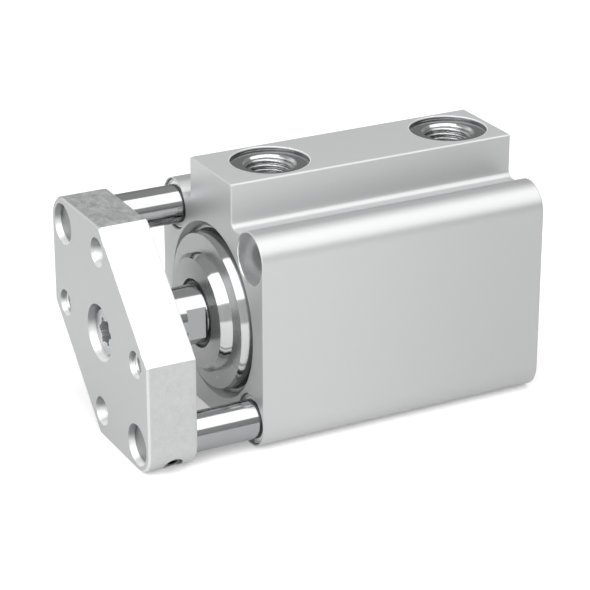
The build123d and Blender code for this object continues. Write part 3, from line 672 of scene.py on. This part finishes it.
@dataclass(frozen=True)
class TurnedFinish:
    """Turned metal: fine grooves that ring an axis along X, on its faces and on its sides; its flat faces
    get a darker copy of its colour, which is painted shade.
    """

    name: str
    colour: Colour
    centre: tuple[float, float] = (0.0, 0.0)
    tones: Span = (0.80, 1.18)
    # painted shade: the share of the colour that the flat faces take
    face_shade_share: float = 0.82
    face_span: Span = (0.80, 0.95)
    face_metallic: float = 0.55
    roughness: float = 0.11
    face_roughness: float = 0.26
    haze: Triple = (300.0, 300.0, 300.0)
    haze_gloss: float = 0.08
    fine_pitch: float = 0.00003
    fine_share: float = 1.5
    coarse_pitch: float = 0.00040
    coarse_share: float = 0.5
    slope: float = 0.18
    lead: float = 1.7
    lean: float = 0.30
    shade: float = 0.25
    relief_depth: float = 0.0000010
    edge_radius: float = 0.00010

    def material(self) -> bpy.types.Material:
        """Builds the material."""
        material, board = new_material(self.name)
        place = board.place()
        along, _, _ = board.split(place)
        across, _, _ = board.split(board.facing())
        face = abs(across).ramp(*self.face_span)
        travel = board.around(place, self.centre) + along * self.lead
        fine = board.streak(travel, 1.0 / self.fine_pitch)
        coarse = board.streak(travel, 1.0 / self.coarse_pitch)
        haze = board.grain(place, self.haze, 3.0)
        slope = ((fine - 0.5) * self.fine_share + (coarse - 0.5) * self.coarse_share) * self.slope
        edge = board.rounded(self.edge_radius)
        shaped = board.blend(face, board.leaning(edge, self.lean), edge)
        grooved = board.grooved(shaped, place, self.centre, slope)
        tone = (coarse - 0.5) * self.shade + (haze - 0.5) * self.shade + 0.5
        side = board.shaded(tone, self.colour, self.tones)
        # Painted shade: the flat faces get a darker copy of the colour.
        flat = board.shaded(tone, tuple(part * self.face_shade_share for part in self.colour), self.tones)
        board.surface({"Base Color": board.mix(face, side, flat),
                       "Metallic": face * (self.face_metallic - 1.0) + 1.0,
                       "Roughness": ((haze - 0.5) * self.haze_gloss + self.roughness
                                     + face * (self.face_roughness - self.roughness)),
                       "Normal": board.relief(haze, self.relief_depth, grooved)})
        return material


@dataclass(frozen=True)
class ChromeFinish:
    """Hard chrome, ground round the rod and polished, dull at its ends, and darker below, which is a
    painted reflection.
    """

    name: str = "hard_chrome_rod"
    colour: Colour = (0.425, 0.429, 0.433)
    # painted reflection: the darker colour of the barrel's lower side
    painted_under_reflection: Colour = (0.270, 0.273, 0.276)
    end_colour: Colour = (0.190, 0.192, 0.194)
    tones: Span = (0.97, 1.03)
    under_reflection_span: Span = (0.34, 0.20)
    end_span: Span = (0.85, 0.95)
    roughness: float = 0.14
    end_roughness: float = 0.34
    lean: float = 0.22
    grind: Triple = (5200.0, 60.0, 60.0)
    grind_gloss: float = 0.03
    haze: Triple = (220.0, 220.0, 220.0)
    haze_gloss: float = 0.05
    relief_depth: float = 0.0000004
    edge_radius: float = 0.00008

    def material(self) -> bpy.types.Material:
        """Builds the material."""
        material, board = new_material(self.name)
        place = board.place()
        across, _, up = board.split(board.facing())
        end = abs(across).ramp(*self.end_span)
        grind = board.grain(place, self.grind)
        haze = board.grain(place, self.haze, 3.0)
        upper = board.shaded(haze, self.colour, self.tones)
        # Painted reflection: the barrel is darker where it faces below the streak.
        barrel = board.mix(up.ramp(*self.under_reflection_span), upper, self.painted_under_reflection)
        rough = end * (self.end_roughness - self.roughness) + self.roughness
        uneven = (haze - 0.5) * self.haze_gloss + (grind - 0.5) * self.grind_gloss
        edge = board.rounded(self.edge_radius)
        shaped = board.blend(end, board.leaning(edge, self.lean), edge)
        board.surface({"Base Color": board.mix(end, barrel, self.end_colour), "Metallic": 1.0,
                       "Roughness": rough + uneven,
                       "Normal": board.relief(grind, self.relief_depth, shaped)})
        return material


@dataclass(frozen=True)
class SteelFinish:
    """Steel of small parts: plated, ground or blackened, with fine pits and handling marks, and pale
    broken edges that are rubbing wear and, on the bright zinc plate, a painted glint.
    """

    name: str
    colour: Colour
    tones: Span = (0.75, 1.25)
    roughness: float = 0.30
    metallic: float = 1.0
    pits: Triple = (2600.0, 2600.0, 2600.0)
    shade: float = 0.30
    worn_scale: float = 0.2
    worn_gloss: float = 0.2
    relief_depth: float = 0.0000030
    edge_radius: float = 0.00008
    # paler broken edges: rubbing wear, and on the bright zinc plate a painted glint
    wear_and_glint: float = 1.3
    lean: float = 0.0
    face_span: Span = (0.80, 0.95)

    def material(self) -> bpy.types.Material:
        """Builds the material."""
        material, board = new_material(self.name)
        place = board.place()
        pits = board.grain(place, self.pits, 3.0)
        worn = board.grain(place, tuple(part * self.worn_scale for part in self.pits), 2.0)
        tone = (pits - 0.5) * self.shade + (worn - 0.5) * self.shade + 0.5
        coat = board.shaded(tone, self.colour, self.tones)
        edge = board.rounded(self.edge_radius)
        # The broken edges get a paler colour: rubbing wear, and a painted glint where the share is large.
        wear_and_glint = tuple(min(1.0, part * self.wear_and_glint) for part in self.colour)
        shaped = edge
        if self.lean > 0.0:
            across, _, _ = board.split(board.facing())
            shaped = board.blend(abs(across).ramp(*self.face_span), board.leaning(edge, self.lean), edge)
        board.surface({"Base Color": board.mix(board.broken(edge), coat, wear_and_glint),
                       "Metallic": self.metallic,
                       "Roughness": (worn - 0.5) * self.worn_gloss + self.roughness,
                       "Normal": board.relief(pits, self.relief_depth, shaped)})
        return material


@dataclass(frozen=True)
class PolymerFinish:
    """Rubber, elastomer or plastic: not metal, with a soft sheen and a moulded grain."""

    name: str
    colour: Colour
    roughness: float = 0.45
    grain: Triple = (1800.0, 1800.0, 1800.0)
    dust_scale: float = 0.15
    dust_gloss: float = 0.25
    pale_share: float = 1.5
    pale_lift: float = 0.01
    relief_depth: float = 0.0000040

    def material(self) -> bpy.types.Material:
        """Builds the material."""
        material, board = new_material(self.name)
        place = board.place()
        grain = board.grain(place, self.grain, 2.0)
        dust = board.grain(place, tuple(part * self.dust_scale for part in self.grain), 3.0)
        pale = tuple(min(1.0, part * self.pale_share + self.pale_lift) for part in self.colour)
        board.surface({"Base Color": board.mix((grain + dust) * 0.5, self.colour, pale),
                       "Metallic": 0.0, "Roughness": (dust - 0.5) * self.dust_gloss + self.roughness,
                       "Normal": board.relief(grain, self.relief_depth)})
        return material


@dataclass
class Palette:
    """Every finish of the cylinder, made once."""

    made: dict[str, bpy.types.Material] = field(default_factory=dict)

    def material(self, finish: Any) -> bpy.types.Material:
        """The material of a finish, built when it is first asked for."""
        if finish.name not in self.made:
            self.made[finish.name] = finish.material()
        return self.made[finish.name]


CHROME = ChromeFinish()
TURNED = TurnedFinish("turned_cover", (0.450, 0.454, 0.456))
BUSH_STEEL = SteelFinish("ground_bush_steel", (0.560, 0.560, 0.560), roughness=0.24, shade=0.15)
SPRING_STEEL = SteelFinish("plated_spring_steel", (0.420, 0.420, 0.425), roughness=0.34,
                           metallic=0.60, lean=0.30)
# The bright zinc plate's pale broken edges are a painted glint.
ZINC = SteelFinish("bright_zinc_plate", (0.340, 0.345, 0.350), roughness=0.22, metallic=0.80,
                   shade=0.20, edge_radius=0.00030, wear_and_glint=2.4, lean=0.22)
BLACKENED = SteelFinish("blackened_steel", (0.085, 0.085, 0.088), roughness=0.38)
MAGNET = PolymerFinish("bonded_magnet", (0.115, 0.108, 0.105), roughness=0.60)
BAND = PolymerFinish("bearing_band", (0.200, 0.240, 0.200), roughness=0.50)
BUMPER = PolymerFinish("cast_elastomer", (0.250, 0.200, 0.120), roughness=0.42)
RUBBER = PolymerFinish("seal_rubber_black", (0.022, 0.022, 0.023), roughness=0.36)
GUIDE_WIPER = PolymerFinish("guide_wiper_elastomer", (0.560, 0.562, 0.565), roughness=0.28)


@dataclass
class InternalThread:
    """The ridge of an internal thread, wound along the wall of a hole as one closed strip."""

    name: str
    mouth: Vector
    axis: Vector
    outer_radius: float
    height: float
    pitch: float
    length: float
    steps_per_turn: int = 40
    runout_turns: float = 0.6
    wall_bite: float = 0.00002
    root_share: float = 0.43
    crest_share: float = 0.08

    def build(self) -> bpy.types.Object:
        """Builds the ridge.

        Returns:
            The new object, whose mesh is in the model's frame.
        """
        mesh = bmesh.new()
        side = self.axis.orthogonal().normalized()
        across = self.axis.cross(side)
        turns = self.length / self.pitch - 2 * self.root_share
        steps = round(turns * self.steps_per_turn)
        rings = []
        for step in range(steps + 1):
            done = step / self.steps_per_turn
            rise = min(1.0, done / self.runout_turns, (turns - done) / self.runout_turns)
            outward = side * math.cos(math.tau * done) + across * math.sin(math.tau * done)
            start = self.mouth - self.axis * (self.length - self.pitch * (done + self.root_share))
            rings.append([mesh.verts.new(start + self.axis * along + outward * radius)
                          for along, radius in self._section(max(rise, 0.0))])
        self._skin(mesh, rings)
        data = bpy.data.meshes.new(self.name)
        mesh.to_mesh(data)
        mesh.free()
        made = bpy.data.objects.new(self.name, data)
        bpy.context.scene.collection.objects.link(made)
        return made

    def _section(self, rise: float) -> list[tuple[float, float]]:
        """The ridge's section as (along, radius) pairs, with its height scaled by rise."""
        root = self.outer_radius + self.wall_bite
        crest = self.outer_radius - self.height * rise
        return [(-self.root_share * self.pitch, root), (-self.crest_share * self.pitch, crest),
                (self.crest_share * self.pitch, crest), (self.root_share * self.pitch, root)]

    @staticmethod
    def _skin(mesh: bmesh.types.BMesh, rings: list[list[bmesh.types.BMVert]]) -> None:
        """Joins the sections by faces and closes both ends, with the ridge's long edges sharp."""
        count = len(rings[0])
        for first, second in zip(rings, rings[1:]):
            for index in range(count):
                following = (index + 1) % count
                face = mesh.faces.new((first[index], second[index], second[following], first[following]))
                face.smooth = True
                mesh.edges.get((first[index], second[index])).smooth = False
        mesh.faces.new(rings[0])
        mesh.faces.new(list(reversed(rings[-1])))
        bmesh.ops.recalc_face_normals(mesh, faces=mesh.faces)


@dataclass
class SubAssembly:
    """A group of pieces that belong together, with what dresses them."""

    frame: dict[str, Any]
    palette: Palette

    def mount(self, name: str) -> dict[str, Any]:
        """The record's mount of that name."""
        return next(mount for mount in self.frame["record"]["mounts"] if mount["name"] == name)

    def dress(self, nodes: Iterable[str], finish: Any) -> None:
        """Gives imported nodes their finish.

        Args:
            nodes: The nodes' names.
            finish: The finish whose material they get.
        """
        material = self.palette.material(finish)
        for name in nodes:
            piece = self.frame["nodes"][name]
            if not piece.material_slots:
                piece.data.materials.append(material)
            for spot in piece.material_slots:
                spot.material = material
            LOG.info("dressed %s in %s", name, finish.name)

    def add(self, piece: bpy.types.Object, body: Body, slot: Slot, finish: Any) -> None:
        """Puts a new piece on its body, in its finish.

        Args:
            piece: The new object.
            body: The body that it moves with.
            slot: The record's slot that its finish is named by. It is not used.
            finish: The finish whose material it gets.
        """
        piece.data.materials.append(self.palette.material(finish))
        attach(piece, body.value)
        LOG.info("added %s on %s", piece.name, body.value)


@dataclass
class Housing(SubAssembly):
    """The extruded housing and the threads of its two ports."""

    ports: tuple[str, str] = ("front_port", "rear_port")
    port_pitch: float = 0.907 * MM
    port_thread_height: float = 0.58 * MM
    thread_margin: float = 0.1 * MM

    @property
    def anodised(self) -> ExtrudedFinish:
        """The extrusion's finish, which knows where the ports and the corner bores are."""
        ports = tuple(tuple(self.mount(name)["pos_m"][:2]) for name in self.ports)
        half = self.mount("mounting_holes")["dims"]["pcd_mm"] * MM / 2 * math.cos(math.pi / 4)
        return ExtrudedFinish(facings=ports, bores=((half, half), (-half, -half)))

    def build(self) -> None:
        """Winds the port threads."""
        for name in self.ports:
            mount = self.mount(name)
            thread = InternalThread(f"{name}_thread", Vector(mount["pos_m"]), Vector(mount["axis"]),
                                    mount["dims"]["r_mm"] * MM, self.port_thread_height,
                                    self.port_pitch, mount["dims"]["length_mm"] * MM - self.thread_margin)
            self.add(thread.build(), Body.FIXED, Slot.ANODISED, self.anodised)

    def finish(self) -> None:
        """Dresses the housing."""
        self.dress(["housing"], self.anodised)


@dataclass
class Covers(SubAssembly):
    """Both covers with their rings, seals and bumpers, and what the front cover holds."""

    def finish(self) -> None:
        """Dresses the covers and what is in them."""
        self.dress(["front_cover", "rear_cover"], TURNED)
        self.dress(["front_retaining_ring", "rear_retaining_ring"], SPRING_STEEL)
        self.dress(["rod_bush"], BUSH_STEEL)
        self.dress(["front_bumper", "rear_bumper"], BUMPER)
        self.dress(["front_cover_o_ring", "rear_cover_o_ring", "rod_seal", "rod_wiper"], RUBBER)


@dataclass
class Guides(SubAssembly):
    """The two guide rods with their bushes and wipers."""

    def finish(self) -> None:
        """Dresses the guide rods, the bushes and the wipers."""
        for side in ("upper", "lower"):
            low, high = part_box(f"{side}_guide_bush")
            centre = tuple((low + high) / 2)[1:]
            bush = TurnedFinish(f"{side}_bush_turned", (0.560, 0.560, 0.560), centre)
            self.dress([f"{side}_guide_bush"], bush)
            self.dress([f"{side}_guide_rod"], CHROME)
            self.dress([f"{side}_guide_wiper"], GUIDE_WIPER)


@dataclass
class RodAndPiston(SubAssembly):
    """The piston rod and the piston with its rings and screw."""

    def finish(self) -> None:
        """Dresses the rod and everything on the piston."""
        self.dress(["piston_rod"], CHROME)
        self.dress(["piston"], TURNED)
        self.dress(["piston_screw"], ZINC)
        self.dress(["magnet_ring"], MAGNET)
        self.dress(["piston_guide_band"], BAND)
        self.dress(["piston_o_ring", "rear_piston_seal", "front_piston_seal"], RUBBER)


@dataclass
class Plate(SubAssembly):
    """The guide plate, its screws and the threads of its two fixing holes."""

    thread_pitch: float = 0.8 * MM
    thread_height: float = 0.43 * MM
    thread_margin: float = 0.3 * MM
    hole_zone: float = 4.4 * MM
    middle_zone: float = 6.1 * MM

    @property
    def milled(self) -> MilledFinish:
        """The plate's finish, which knows where its holes are."""
        reach = self.mount("plate_threads")["dims"]["spacing_x_mm"] * MM / 2
        rise = self.mount("plate_dowel_holes")["dims"]["spacing_y_mm"] * MM / 2
        outer = [(-reach, rise), (0.0, rise), (-reach, 0.0), (reach, 0.0), (0.0, -rise), (reach, -rise)]
        holes = tuple((y, z, self.hole_zone) for y, z in outer)
        return MilledFinish(holes=holes + ((0.0, 0.0, self.middle_zone),))

    def build(self) -> None:
        """Winds the threads of the two fixing holes."""
        mount = self.mount("plate_threads")
        low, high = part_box("guide_plate")
        depth = high.x - low.x - 2 * self.thread_margin
        half = mount["dims"]["spacing_x_mm"] * MM / 2
        for name, side in (("right", 1), ("left", -1)):
            mouth = Vector((high.x - self.thread_margin, side * half, 0.0))
            thread = InternalThread(f"{name}_plate_thread", mouth, Vector(ALONG_X),
                                    mount["dims"]["hole_r_mm"] * MM, self.thread_height,
                                    self.thread_pitch, depth)
            self.add(thread.build(), Body.MOVING, Slot.MILLED, self.milled)

    def finish(self) -> None:
        """Dresses the plate and its screws."""
        self.dress(["guide_plate"], self.milled)
        self.dress(["plate_screw"], ZINC)
        self.dress(["rod_clamp_screws"], BLACKENED)


@dataclass
class Studio:
    """A pale floor, a soft overhead light, a weaker side card, a soft sky and the camera."""

    floor_level: float
    floor_reach: float = 2.0
    floor_colour: Colour = (0.76, 0.76, 0.76)
    floor_glow: float = 0.30
    floor_roughness: float = 0.9
    floor_segments: int = 64
    box_centre: Triple = (0.12, 0.41, 0.52)
    box_size: Span = (1.30, 0.86)
    box_watts: float = 7.3
    card_centre: Triple = (0.60, 0.14, 0.30)
    card_aim: Triple = (0.06, 0.0, 0.0)
    card_size: Span = (0.60, 0.50)
    card_watts: float = 1.3
    sky_behind: Colour = (0.38, 0.38, 0.38)
    sky_beside: Colour = (0.26, 0.26, 0.26)
    sky_ahead: Colour = (1.10, 1.10, 1.10)
    sky_above: Colour = (0.50, 0.50, 0.50)
    beside_span: Span = (-0.30, 0.30)
    ahead_span: Span = (-0.10, 0.35)
    above_span: Span = (0.45, 0.75)
    azimuth: float = 152.34
    elevation: float = 23.04
    aim: Triple = (0.04823, 0.00670, 0.00272)
    distance: float = 0.48098
    lens: float = 146.44
    sensor_width: float = 36.0
    clip_range: Span = (0.01, 100.0)

    def build(self) -> None:
        """Builds the floor, the sky, the lights and the camera."""
        self._floor()
        self._world()
        self._panel("softbox", self.box_centre, None, self.box_size, self.box_watts)
        self._panel("side_card", self.card_centre, self.card_aim, self.card_size, self.card_watts)
        self._camera()
        bpy.context.scene.view_settings.view_transform = "Standard"

    def _floor(self) -> None:
        """A wide pale disc under the cylinder."""
        mesh = bmesh.new()
        bmesh.ops.create_circle(mesh, cap_ends=True, segments=self.floor_segments,
                                radius=self.floor_reach)
        bmesh.ops.translate(mesh, verts=mesh.verts, vec=(0.0, 0.0, self.floor_level))
        data = bpy.data.meshes.new("floor")
        mesh.to_mesh(data)
        mesh.free()
        floor = bpy.data.objects.new("floor", data)
        bpy.context.scene.collection.objects.link(floor)
        material, board = new_material("pale_floor")
        rays = board.node("ShaderNodeLightPath")
        seen = [Signal(board, rays.outputs[name])
                for name in ("Is Camera Ray", "Is Glossy Ray", "Is Transmission Ray")]
        shown = board.math("MAXIMUM", board.math("MAXIMUM", seen[0], seen[1]), seen[2])
        board.surface({"Base Color": (*self.floor_colour, 1.0), "Roughness": self.floor_roughness,
                       "Specular IOR Level": 0.0, "Emission Color": board.mix(shown, BLACK, WHITE),
                       "Emission Strength": self.floor_glow})
        data.materials.append(material)
        floor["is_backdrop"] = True

    def _world(self) -> None:
        """A soft sky: grey low down behind and beside the cylinder, bright ahead, mid-grey above."""
        world = bpy.data.worlds.new("studio")
        bpy.context.scene.world = world
        world.use_nodes = True
        board = Board(world.node_tree)
        direction = Signal(board, board.node("ShaderNodeTexCoord").outputs["Generated"])
        ahead, side, up = board.split(direction)
        beside = board.mix(side.ramp(*self.beside_span), self.sky_behind, self.sky_beside)
        low = board.mix(ahead.ramp(*self.ahead_span), beside, self.sky_ahead)
        sky = board.mix(up.ramp(*self.above_span), low, self.sky_above)
        background = board.node("ShaderNodeBackground", inputs={"Color": sky, "Strength": 1.0})
        board.node("ShaderNodeOutputWorld", inputs={"Surface": Signal(board, background.outputs[0])})

    def _panel(self, name: str, centre: Triple, aim: Triple | None, size: Span, watts: float) -> None:
        """A soft rectangular light.

        Args:
            name: Its name.
            centre: The middle of its panel.
            aim: The point that it faces, or None where it faces straight down.
            size: Its width and height.
            watts: Its power.
        """
        light = bpy.data.lights.new(name, "AREA")
        light.shape = "RECTANGLE"
        light.size, light.size_y = size
        light.energy = watts
        lamp = bpy.data.objects.new(name, light)
        lamp.location = centre
        if aim is not None:
            lamp.rotation_mode = "QUATERNION"
            lamp.rotation_quaternion = (Vector(aim) - Vector(centre)).to_track_quat("-Z", "Y")
        bpy.context.scene.collection.objects.link(lamp)

    def _camera(self) -> None:
        """The camera, which looks at the aim point from its azimuth and elevation."""
        turn, lift = math.radians(self.azimuth), math.radians(self.elevation)
        back = Vector((math.sin(turn) * math.cos(lift), -math.cos(turn) * math.cos(lift), math.sin(lift)))
        data = bpy.data.cameras.new("camera")
        data.lens = self.lens
        data.sensor_width = self.sensor_width
        data.clip_start, data.clip_end = self.clip_range
        camera = bpy.data.objects.new("camera", data)
        camera.location = Vector(self.aim) + back * self.distance
        camera.rotation_mode = "QUATERNION"
        camera.rotation_quaternion = (-back).to_track_quat("-Z", "Y")
        bpy.context.scene.collection.objects.link(camera)
        bpy.context.scene.camera = camera


def main() -> None:
    """Loads the frame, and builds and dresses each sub-assembly."""
    logging.basicConfig(level=logging.INFO, format="%(name)s: %(message)s")
    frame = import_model()
    cad_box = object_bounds()
    palette = Palette()
    housing = Housing(frame, palette)
    plate = Plate(frame, palette)
    housing.build()
    plate.build()
    for group in (housing, Covers(frame, palette), Guides(frame, palette),
                  RodAndPiston(frame, palette), plate):
        group.finish()
    Studio(floor_level=cad_box[0].z).build()


if __name__ == "__main__":
    main()
